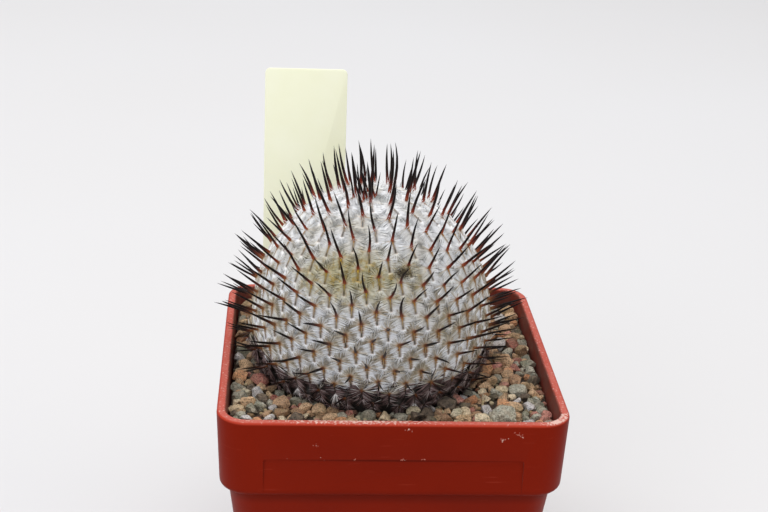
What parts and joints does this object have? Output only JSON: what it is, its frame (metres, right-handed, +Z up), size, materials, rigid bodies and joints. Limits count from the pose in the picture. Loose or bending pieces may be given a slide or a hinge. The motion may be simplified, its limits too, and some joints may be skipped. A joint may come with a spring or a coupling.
{
  "type": "potted mammillaria perezdelarosae cactus",
  "caption": "Round cactus with a close coat of white radial spines and dark central spines, in a square red plastic pot of gritty soil with a plant label.",
  "frame": {"origin": "middle of the pot's underside, on the surface it stands on", "axes": "+Z up, +X to the right and +Y away from the viewer of the picture, square to the pot's sides"},
  "size_m": [0.0617, 0.0638, 0.0991],
  "materials": {
    "pot_plastic": "satin moulded polypropylene, brick red, dusty on the rim",
    "gritty_soil": "matt mixed gravel in tan, ochre, red and grey-green over dark fine soil",
    "spiny_stem": "green stem hidden under fine white radial spines",
    "central_spines": "horny spines, near black at the tip and red brown at the foot",
    "label_plastic": "thin pale yellow plastic, matt"
  },
  "bodies": {
    "root": {"pot": "pot_plastic", "soil": "gritty_soil", "cactus": "spiny_stem", "label": "label_plastic"}
  },
  "joints": []
}
